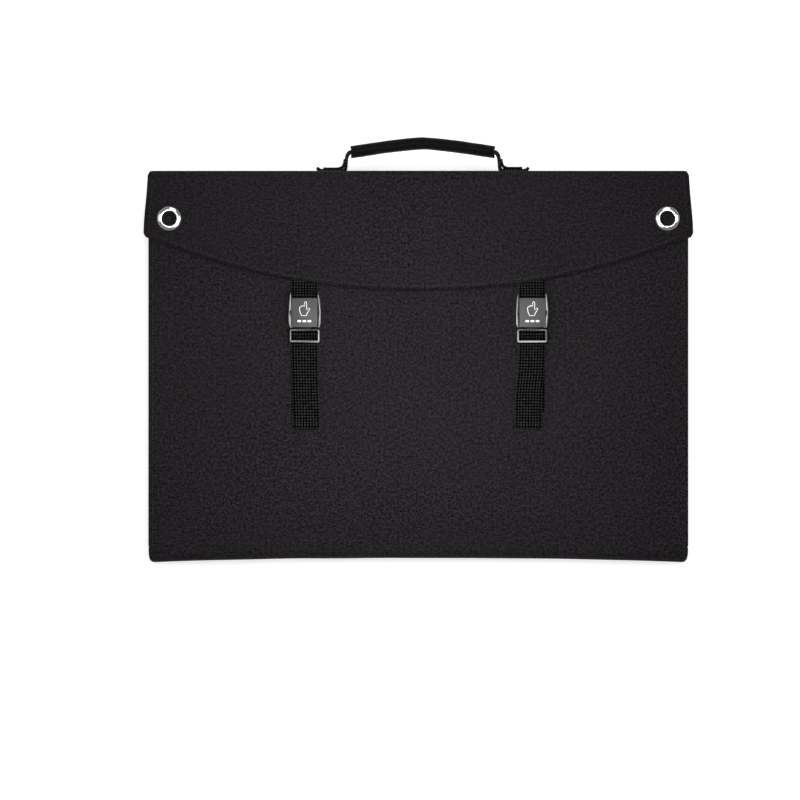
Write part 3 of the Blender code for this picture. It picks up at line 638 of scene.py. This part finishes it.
def bottom_fold(name, node, lower, upper):
    """Cloth that runs from one leaf's outer face round the ends to the next one's."""
    lift = 0.00003
    rows = stops(-FOLD_LAP, (0.0, 2), (FOLD_RUN, 14), (FOLD_RUN + FOLD_LAP, 2))
    across = stops(-FOLD_HALF, (-FOLD_HALF + 0.006, 8), (-FOLD_HALF + 0.03, 6), (FOLD_HALF - 0.03, 36),
                   (FOLD_HALF - 0.006, 6), (FOLD_HALF, 8))
    bm = cloth_sheet(across, rows)

    def outer(number, x):
        """The height of this leaf's outer face beside the fold."""
        if number == 1:
            return 0.0003
        plane, way = LEAF_WAYS[number]
        return plane + way * (leaf_face(number, x, LEAF_LOW + 0.001) + lift)

    def rule(x, s):
        top, bottom = outer(upper, x), outer(lower, x)
        share = min(max(s / FOLD_RUN, 0.0), 1.0)
        angle = math.pi / 2 - math.pi * share
        out = bottom_bulge(x) * math.cos(angle) + min(s, 0.0) - max(s - FOLD_RUN, 0.0)
        out -= corner_inset(x) * math.cos(angle)
        wave = 0.0003 * ripple(x, share, 0.05, 5.0 + upper) * math.cos(angle)
        return x, LEAF_LOW - (out + wave), (top + bottom) / 2 + (top - bottom) / 2 * math.sin(angle)

    shape(bm, rule)
    low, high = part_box(node)
    face_outwards(bm, (0.0, LEAF_LOW - bottom_bulge(0.0), (low[2] + high[2]) / 2), (0.0, -1.0, 0.0))
    obj = put(name, bm, case_cloth, [node])
    thicken(obj, CLOTH)
    start, end = max(outer(lower, x) for x in across), min(outer(upper, x) for x in across)
    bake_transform(obj)


def top_fold():
    """Cloth from leaf 2 out round a small tip and straight back to leaf 3, so that it opens flat."""
    lower, upper = TOP_FOLD_BACKS
    level, rise = upper + 0.00005, 0.0235 - lower
    path = [Vector((LEAF_HIGH - FOLD_LAP, lower)), Vector((LEAF_HIGH - FOLD_LAP / 2, lower))]
    for i in range(9):
        angle = math.pi / 2 * i / 8
        out, up = TOP_FOLD_REACH * math.sin(angle), rise * (1 - math.cos(angle))
        path.append(Vector((LEAF_HIGH + out, lower + up)))
    centre = Vector((LEAF_HIGH + TOP_FOLD_REACH - TOP_FOLD_TIP, level - TOP_FOLD_TIP))
    for i in range(7):
        angle = math.pi / 2 * i / 6
        path.append(centre + TOP_FOLD_TIP * Vector((math.cos(angle), math.sin(angle))))
    path += [Vector((LEAF_HIGH + TOP_FOLD_REACH * share, level)) for share in (0.7, 0.45, 0.2, 0.0)]
    path.append(Vector((LEAF_HIGH - FOLD_LAP, level)))

    def place(u, p):
        x = FOLD_HALF * math.sin(math.pi / 2 * u / FOLD_HALF)
        return x, p.x - corner_inset(x) * max(0.0, (p.x - LEAF_HIGH) / TOP_FOLD_REACH), p.y

    obj = strap("top_fold", path, 2 * FOLD_HALF, TOP_FOLD_DEPTH, place, case_cloth,
                ["fold_2_3"], across=60)
    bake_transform(obj)


def jumper_lead(name, node, edge_y, reach):
    """The flat lead that bends inside a fold."""
    low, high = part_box(node)
    middle_x, middle_z = (low[0] + high[0]) / 2, (low[2] + high[2]) / 2
    half = (high[2] - low[2]) / 2 - 0.0009
    path = []
    for i in range(17):
        angle = math.radians(-84 + 168 * i / 16)
        path.append(Vector((edge_y + reach * math.cos(angle), middle_z + half * math.sin(angle))))
    lead = strap(name, path, high[0] - low[0], 0.0006, lambda u, p: (middle_x + u, p.x, p.y), rubber,
                 [node], across=4)
    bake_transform(lead)


# ---------------------------------------------------------------- flap, spine and eyelets
def flap_edge(x):
    """Where the flap's lower edge lies."""
    return LOWEST_Y + (CORNER_Y - LOWEST_Y) * (abs(x) / CORNER_X) ** CURVE_POWER


def flap_half(y):
    """Half the flap's width: it flares a little, then rounds in at its corners."""
    if y > FLARE_Y:
        return FLAP_HALF + (FLAP_FLARE - FLAP_HALF) * smooth((FLAP_TOP_LINE - y) / (FLAP_TOP_LINE - FLARE_Y))
    return CORNER_X + (FLAP_FLARE - CORNER_X) * math.sqrt(max(0.0, (y - CORNER_Y) / (FLARE_Y - CORNER_Y)))


def flap_height(x, y):
    """Height of the flap's outer surface: flat in the middle, drooping to the front at its hem."""
    over = y - flap_edge(x)
    low = 0.0012 * smooth(1 - over / 0.045)
    low = max(low, 0.0013 * smooth((abs(x) - 0.222) / 0.044))
    eyelet = math.hypot(abs(x) - EYELET_X, y - EYELET_Y)
    low *= 1 - smooth((0.024 - eyelet) / 0.012)
    over_strap = smooth((0.021 - abs(abs(x) - BUCKLE_X)) / 0.010) * smooth((0.104 - y) / 0.012)
    low -= 0.0012 * over_strap
    hem = 0.00045 * smooth((0.0080 - over) / 0.0012) * smooth((over - 0.0020) / 0.0012)
    roll = 0.0020 * smooth(1 - over / 0.0030) + 0.0011 * smooth((y - 0.1765) / 0.0085)
    wave = 0.00022 * ripple(x, y, 0.060, 1.0) * smooth((eyelet - 0.015) / 0.02)
    return FLAP_Z - low + hem - roll + wave


def flap_and_spine():
    """One cloth from under the back panel's top edge, up the spine and over the front."""
    foot, corner, top_corner, plan_corner = 0.0077, 0.0040, 0.0048, 0.0042
    spine_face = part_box("spine")[1][1]
    wall = FLAP_Z - top_corner - corner
    arc, top_arc = corner * math.pi / 2, top_corner * math.pi / 2
    a, b, c, d = foot, foot + arc, foot + arc + wall, foot + arc + wall + top_arc
    reach = 0.1130
    rows = stops(0.0, (a, 2), (b, 5), (c, 8), (d, 8), (d + reach * 0.80, 30), (d + reach * 0.97, 12),
                 (d + reach, 9))
    across = stops(-FLAP_HALF, (-FLAP_HALF + 0.035, 16), (FLAP_HALF - 0.035, 84), (FLAP_HALF, 16))
    bm = cloth_sheet(across, rows)

    def rule(x, s):
        if s <= a:
            return x, spine_face - corner - (a - s), 0.0
        past = max(0.0, abs(x) - (FLAP_HALF - plan_corner))
        inwards = plan_corner - math.sqrt(max(0.0, plan_corner ** 2 - past ** 2))
        if s <= b:
            angle = (s - a) / corner
            y = spine_face - corner + corner * math.sin(angle) - inwards * smooth((s - a) / (b - a))
            return x, y, corner * (1 - math.cos(angle))
        sag = 0.0
        if s <= c:
            sag = -0.0004 * math.sin(math.pi * (s - b) / wall) * (1 + ripple(x, s, 0.08, 2.0))
            return x, spine_face + sag - inwards, corner + s - b
        share = (s - d) / reach
        if share <= 0:
            angle = (s - c) / top_corner
            y = spine_face - inwards - top_corner * (1 - math.cos(angle))
            rise = flap_height(x, FLAP_TOP_LINE) - (FLAP_Z - top_corner)
            return x, y, FLAP_Z - top_corner + rise * math.sin(angle)
        u = x / FLAP_HALF
        end = flap_edge(u * CORNER_X)
        y = FLAP_TOP_LINE - inwards - share * (FLAP_TOP_LINE - inwards - end)
        x = u * (FLAP_HALF + (flap_half(y) - FLAP_HALF) * smooth(abs(u) ** 3))
        return x, y, flap_height(x, y)

    shape(bm, rule)
    face_outwards(bm, (0.0, 0.12, FLAP_Z), UP)
    obj = put("flap_and_spine_cloth", bm, case_cloth,
              ["spine", "flap_hinge", "flap_cover", "flap_lining"])
    thicken(obj, FLAP_DEPTH)
    for side in (-1, 1):
        cutter = bmesh.new()
        bmesh.ops.create_cone(cutter, cap_ends=True, segments=40, radius1=0.0079, radius2=0.0079, depth=0.02,
                              matrix=Matrix.Translation((side * EYELET_X, EYELET_Y, FLAP_Z)))
        punch = put("punch", cutter, case_cloth)
        hole = obj.modifiers.new("Hole", "BOOLEAN")
        hole.operation = "DIFFERENCE"
        hole.object = punch
        settle(obj)
        bpy.data.objects.remove(punch, do_unlink=True)
    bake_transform(obj)
    points = [Vector((x, flap_edge(x) + 0.0056, 0.0)) for x in stops(-0.2590, (0.2590, 180))]
    for point in points:
        point.z = flap_height(point.x, point.y) + ON_CLOTH
    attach(stitch_row("flap_hem_stitches", points, [UP] * len(points)), "flap")
    for side, label in ((-1, "left"), (1, "right")):
        points = []
        for y in stops(0.1830, (0.1340, 24)):
            x = side * (flap_half(y) - 0.0050)
            points.append(Vector((x, y, flap_height(x, y) + ON_CLOTH)))
        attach(stitch_row(f"flap_side_stitches_{label}", points, [UP] * len(points)), "flap")


def eyelet(side, label):
    """A rolled flange and barrel, spun from its section, and the washer behind."""
    low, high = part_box(f"eyelet_{label}")
    under, base, top = low[2], FLAP_Z + 0.0001, high[2]
    section = [(0.0073, under), (0.0071, under + 0.0002), (0.0071, top - 0.0009), (0.0074, top - 0.0003),
               (0.0080, top), (0.0088, top - 0.00005), (0.0098, top - 0.0004), (0.0107, top - 0.0009),
               (0.0113, top - 0.0013), (0.0116, base + 0.0002), (0.0115, base), (0.0079, base),
               (0.0077, base - 0.0002), (0.0077, under)]
    bm = bmesh.new()
    verts = [bm.verts.new((radius, 0.0, z)) for radius, z in section]
    edges = [bm.edges.new(pair) for pair in zip(verts, verts[1:] + verts[:1])]
    bmesh.ops.spin(bm, geom=verts + edges, cent=(0, 0, 0), axis=(0, 0, 1), angle=math.tau, steps=64,
                   use_merge=True)
    bmesh.ops.recalc_face_normals(bm, faces=bm.faces)
    bmesh.ops.translate(bm, verts=bm.verts, vec=(side * EYELET_X, EYELET_Y, 0.0))
    cloth_by_side(bm)
    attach(put(f"eyelet_ring_{label}", bm, nickel, [f"eyelet_{label}"], sharp=60.0), "flap")
    washer = like_frame(f"eyelet_back_{label}", f"eyelet_washer_{label}", nickel, 0.0002)
    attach(washer, "flap")


# ---------------------------------------------------------------- buckles and straps
# A pointing hand's outline, in millimetres.
HAND = [(-2.4, -6.4), (2.4, -6.4), (3.0, -4.2), (5.2, -0.9), (5.5, 0.4), (4.6, 0.9), (2.7, -1.0), (2.5, 0.4),
        (2.5, 6.0), (2.0, 7.0), (1.1, 7.0), (0.6, 6.0), (0.6, 2.2), (0.2, 3.4), (-0.7, 3.5), (-1.2, 2.4),
        (-1.6, 3.2), (-2.5, 3.1), (-2.9, 1.8), (-3.4, 2.3), (-4.2, 1.8), (-4.4, 0.2), (-3.9, -3.2)]


def outline_mark(name, points, centre, radius, surface):
    """A printed line with a little body, from a closed outline in millimetres."""
    curve = bpy.data.curves.new(name, "CURVE")
    curve.dimensions = "3D"
    curve.bevel_depth = radius
    curve.bevel_resolution = 2
    spline = curve.splines.new("POLY")
    spline.points.add(len(points) - 1)
    for point, (x, y) in zip(spline.points, points):
        point.co = (x / 1000, y / 1000, 0.0, 1.0)
    spline.use_cyclic_u = True
    drawn = bpy.data.objects.new(name + "_line", curve)
    bpy.context.scene.collection.objects.link(drawn)
    bpy.context.view_layer.update()
    mesh = bpy.data.meshes.new_from_object(drawn.evaluated_get(bpy.context.evaluated_depsgraph_get()))
    bpy.data.objects.remove(drawn, do_unlink=True)
    bm = bmesh.new()
    bm.from_mesh(mesh)
    bmesh.ops.scale(bm, verts=bm.verts, vec=(1.0, 1.0, 0.45))
    bmesh.ops.translate(bm, verts=bm.verts, vec=centre)
    return put(name, bm, surface)


def buckle(side, label):
    """Shell, press plate, lower half and spring, with the marks printed on the plate."""
    x = side * BUCKLE_X
    edge = 0.00035
    socket = like_frame(f"buckle_shell_{label}", f"buckle_socket_{label}", moulding, edge)
    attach(socket, "flap")
    plate = like_frame(f"press_plate_{label}", f"buckle_button_{label}", press, 0.00045, 3)
    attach(plate, f"button_{label}")
    plug = like_frame(f"buckle_tongue_{label}", f"buckle_plug_{label}", moulding, edge)
    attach(plug, f"plug_{label}")
    spring = like_frame(f"press_spring_{label}", f"button_spring_{label}", steel)
    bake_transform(spring)
    centre_y = sum(corner[1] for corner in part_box(f"buckle_button_{label}")) / 2
    hand = outline_mark(f"press_hand_{label}", HAND, (x - 0.0003, centre_y + 0.0035, PRESS_FACE),
                        0.00032, mark)
    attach(hand, f"button_{label}")
    for i, dash_x in enumerate((-0.0050, 0.0, 0.0050)):
        dash = block((x + dash_x - 0.0018, centre_y - 0.0093, PRESS_FACE - 0.0001),
                     (x + dash_x + 0.0018, centre_y - 0.0073, PRESS_FACE + 0.00012))
        soften(dash, 0.0007, 3, keep=upright)
        cloth_by_side(dash)
        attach(put(f"press_dash_{label}_{i + 1}", dash, mark), f"button_{label}")


LEAN = {"left": 0.0016, "right": -0.0043}  # how far each loose end swings to one side
WAVES = {"left": (0.0, 0.0003, 0.0006, 0.0002, 0.0004), "right": (0.0004, 0.0011, 0.0002, 0.0009, 0.0003)}
SWAY = {"left": 0.00024, "right": 0.0006}
TAIL_END = -0.0605


def straps(side, label):
    """The webbing above a buckle, its loose end below, and the piece that sews it to the front leaf."""
    x = side * BUCKLE_X
    loop = [(0.0880, 0.0433), (0.0780, 0.0432), (0.0685, 0.0431), (0.0640, 0.0431), (0.0618, 0.0440),
            (0.0616, 0.0458), (0.0630, 0.0475), (0.0660, 0.0477), (0.0690, 0.0472), (0.0730, 0.0454),
            (0.0770, 0.0447), (0.0830, 0.0446)]
    path = curve_through(loop, 6)[::-1]
    upper = strap(f"upper_webbing_{label}", path, STRAP_WIDTH, WEBBING,
                  lambda u, p: (x + u, p.x, p.y), stands_for=[f"strap_upper_{label}"])
    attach(upper, "flap")

    bends = [(0.0331, 0.0431), (0.0331, 0.0462), (0.0320, 0.0477), (0.0302, 0.0481), (0.0284, 0.0477),
             (0.0266, 0.0466), (0.0248, 0.0453), (0.0225, 0.0450), (0.0150, 0.0450)]
    for i, wave in enumerate(WAVES[label]):
        bends.append((0.0060 - 0.0125 * i, 0.0450 + wave))
    bends += [(TAIL_END + 0.0010, 0.0450), (TAIL_END, 0.0455), (TAIL_END + 0.0010, 0.0463),
              (TAIL_END + 0.0055, 0.0463)]
    path = curve_through(bends, 6)

    def hang_down(u, p):
        down = smooth((0.020 - p.x) / 0.080)
        sway = SWAY[label] * math.sin((0.02 - p.x) / 0.0095)
        return x + u + (LEAN[label] + sway) * down, p.x, p.y

    tail = strap(f"loose_webbing_{label}", path, STRAP_WIDTH, WEBBING, hang_down,
                 stands_for=[f"strap_tail_{label}"])
    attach(tail, f"plug_{label}")
    y = TAIL_END + 0.0040
    row = [Vector(hang_down(u, Vector((y, 0.0463 + WEBBING / 2)))) for u in stops(-0.0115, (0.0115, 8))]
    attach(stitch_row(f"tail_hem_stitches_{label}", row, [UP] * len(row), pitch=0.0026), f"plug_{label}")

    path = curve_through([(0.0318, 0.0428), (0.0100, 0.0428), (-0.0200, 0.0428), (-0.0450, 0.0428)], 8)
    anchor = strap(f"sewn_webbing_{label}", path, STRAP_WIDTH, WEBBING,
                   lambda u, p: (x + u, p.x, p.y), stands_for=[f"strap_anchor_{label}"])
    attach(anchor, "panel_4")
    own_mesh(anchor)


# ---------------------------------------------------------------- handle
def grip_middle(x):
    """The grip's centre line: a shallow peak, nearly straight on both slopes."""
    share = min(abs(x) / GRIP_HALF, 1.0)
    return 0.2097 + 0.0088 * (1 - share ** 1.35)


def handle():
    """A webbing band on two sewn feet, and the wrapped sleeve round its grip."""
    left = [(-0.1034, 0.1944), (-0.1020, 0.1926), (-0.0985, 0.1917), (-0.0900, 0.1916), (-0.0830, 0.1916),
            (-0.0790, 0.1918), (-0.0768, 0.1928), (-0.0760, 0.1950), (-0.0757, 0.1985), (-0.0753, 0.2030),
            (-0.0745, 0.2068), (-0.0722, 0.2096), (-0.0690, 0.2103), (-0.0640, grip_middle(-0.0640))]
    arch = [(x, grip_middle(x)) for x in stops(-0.0560, (0.0560, 14))]
    path = curve_through(left + arch + [(-x, y) for x, y in reversed(left)], 6)
    band = strap("handle_band", path, BAND_WIDTH, 0.0025,
                 lambda u, p: (HANDLE_X + p.x, p.y, HANDLE_Z + u),
                 stands_for=["handle_webbing", "handle_foot_left", "handle_foot_right"])
    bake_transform(band)

    bm = cloth_sheet(stops(0.0, (1.0, 40)), stops(-GRIP_HALF, (GRIP_HALF, 56)))
    half_y, half_z = 0.00575, 0.0108

    def rule(turn, x):
        angle = math.tau * turn
        cos, sin = math.cos(angle), math.sin(angle)
        up = half_y * math.copysign(abs(sin) ** 0.62, sin)
        swell = 1 + 0.05 * ripple(x, turn * 0.01, 0.014, 7.0)
        slant = 0.0016 * (up / half_y) * smooth((abs(x) - 0.050) / 0.019)
        rise = (grip_middle(x + 0.001) - grip_middle(x - 0.001)) / 0.002
        lean = Vector((-rise, 1.0)).normalized() * up * swell
        z = half_z * math.copysign(abs(cos) ** 0.55, cos)
        return HANDLE_X + x + math.copysign(slant, x) + lean.x, grip_middle(x) + lean.y, HANDLE_Z + z

    shape(bm, rule)
    bmesh.ops.remove_doubles(bm, verts=bm.verts, dist=WELD)
    bmesh.ops.recalc_face_normals(bm, faces=bm.faces)
    sleeve = put("handle_sleeve_cloth", bm, inner_cloth, ["handle_sleeve"])
    thicken(sleeve, 0.0013)
    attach(sleeve, "handle")
    row = []
    for x in stops(-0.0655, (0.0655, 50)):
        row.append(Vector((HANDLE_X + x, grip_middle(x) - 0.0004, HANDLE_Z + half_z + 0.0002)))
    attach(stitch_row("sleeve_stitches", row, [UP] * len(row), pitch=0.0034), "handle")
    for side, label in ((-1, "left"), (1, "right")):
        wedge = [(0.0975, 0.1938), (0.0940, 0.1936), (0.0880, 0.1936), (0.0835, 0.1937), (0.0805, 0.1945),
                 (0.0786, 0.1962), (0.0776, 0.1990), (0.0771, 0.2025)]
        path = curve_through([(side * x, y) for x, y in wedge], 5)
        doubler = strap(f"handle_doubler_{label}", path, DOUBLER_WIDTH, 0.0015,
                        lambda u, p: (HANDLE_X + p.x, p.y, HANDLE_Z + u))
        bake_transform(doubler)
        for i, x in enumerate((0.0870, 0.0955)):
            row = [Vector((HANDLE_X + side * x, 0.1924, HANDLE_Z + z)) for z in stops(-0.0080, (0.0080, 6))]
            normals = [Vector((0.0, 1.0, 0.0))] * len(row)
            stitches = stitch_row(f"handle_foot_stitches_{label}_{i + 1}", row, normals, pitch=0.0027)
            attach(stitches, "back_panel")


# ---------------------------------------------------------------- pocket and electrics
def pocket():
    """The pocket for the output lead, with the junction box and socket that it holds."""
    low, high = (Vector(corner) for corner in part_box("cable_pocket"))
    bm = copy_of("cable_pocket")
    outer = [e for e in bm.edges if e.calc_face_angle(0.0) > math.radians(30)]
    bmesh.ops.bevel(bm, geom=outer, offset=0.0003, segments=2, affect="EDGES", profile=0.5, material=-1)
    cloth_by_side(bm)
    obj = put("cable_pocket_cloth", bm, inner_cloth, ["cable_pocket"])
    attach(obj, "panel_2")
    row = [Vector((x, high.y - 0.006, high.z)) for x in stops(low.x + 0.004, (high.x - 0.004, 20))]
    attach(stitch_row("pocket_hem_stitches", row, [UP] * len(row)), "panel_2")
    for node, name in (("junction_box_base", "junction_box_tray"), ("junction_box_lid", "junction_box_cap"),
                       ("output_socket", "lead_socket")):
        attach(like_frame(name, node, black_plastic, 0.0004), "panel_2")


def dress_frame():
    """Nodes whose shape is right keep it and get their finish."""
    kept = {f"panel_{number}_laminate": backsheet for number in (1, 2, 3, 4)} | {"spine_board": foam}
    for node, surface in kept.items():
        NODES[node].data.materials.clear()
        NODES[node].data.materials.append(surface)


# ---------------------------------------------------------------- floor, light and camera
def studio():
    """A pale floor, soft light from all round, and a camera that looks straight down."""
    bm = bmesh.new()
    bmesh.ops.create_grid(bm, x_segments=1, y_segments=1, size=14.0,
                          matrix=Matrix.Translation((0, 0, -0.0004)))
    mesh = bpy.data.meshes.new("floor")
    bm.to_mesh(mesh)
    bm.free()
    floor = bpy.data.objects.new("floor", mesh)
    bpy.context.scene.collection.objects.link(floor)
    pale, _, shader = finish("floor_paint", 0.9, specular=0.1)
    shader.inputs["Base Color"].default_value = (0.92, 0.92, 0.92, 1.0)
    shader.inputs["Emission Color"].default_value = (1.0, 1.0, 1.0, 1.0)
    shader.inputs["Emission Strength"].default_value = 0.55
    mesh.materials.append(pale)

    world = bpy.data.worlds.new("soft_room")
    world.use_nodes = True
    background = world.node_tree.nodes["Background"]
    background.inputs["Color"].default_value = (1.0, 1.0, 1.0, 1.0)
    background.inputs["Strength"].default_value = 0.22
    bpy.context.scene.world = world
    bpy.context.scene.view_settings.view_transform = "Standard"
    for name, place, size, power in (("overhead", (0.0, 0.10, 2.6), 1.0, 24.0),
                                     ("near", (0.0, -0.02, 0.40), 0.24, 1.35),
                                     ("back_bank", (0.3, 2.2, 1.9), 1.2, 20.0),
                                     ("left_bank", (-2.2, 0.4, 1.8), 1.4, 8.0),
                                     ("right_bank", (2.2, 0.3, 1.8), 1.4, 8.0)):
        lamp = bpy.data.lights.new(name, "AREA")
        lamp.size = size
        lamp.energy = power
        light = bpy.data.objects.new(name, lamp)
        light.location = place
        light.rotation_euler = (-Vector(place)).to_track_quat("-Z", "Y").to_euler()
        light.visible_camera = False
        bpy.context.scene.collection.objects.link(light)

    lens = bpy.data.cameras.new("camera")
    lens.lens = LENS
    lens.sensor_width = SENSOR
    lens.clip_end = 30.0
    camera = bpy.data.objects.new("camera", lens)
    camera.location = (*VIEW_MIDDLE, FACE + VIEW_WIDTH * LENS / SENSOR)
    bpy.context.scene.collection.objects.link(camera)
    bpy.context.scene.camera = camera


studio()
for number in (1, 2, 3, 4):
    leaf_cover(number)
    leaf_board(number)
    leaf_border(number)
    leaf_cells(number)
front_stitches()
bottom_fold("bottom_fold_inner", "fold_1_2", 1, 2)
top_fold()
bottom_fold("bottom_fold_outer", "fold_3_4", 3, 4)
jumper_lead("lead_1_2", "jumper_1_2", LEAF_LOW, -0.0061)
jumper_lead("lead_2_3", "jumper_2_3", LEAF_HIGH, 0.0038)
jumper_lead("lead_3_4", "jumper_3_4", LEAF_LOW, -0.0061)
flap_and_spine()
for side, label in ((-1, "left"), (1, "right")):
    eyelet(side, label)
    buckle(side, label)
    straps(side, label)
handle()
pocket()
dress_frame()
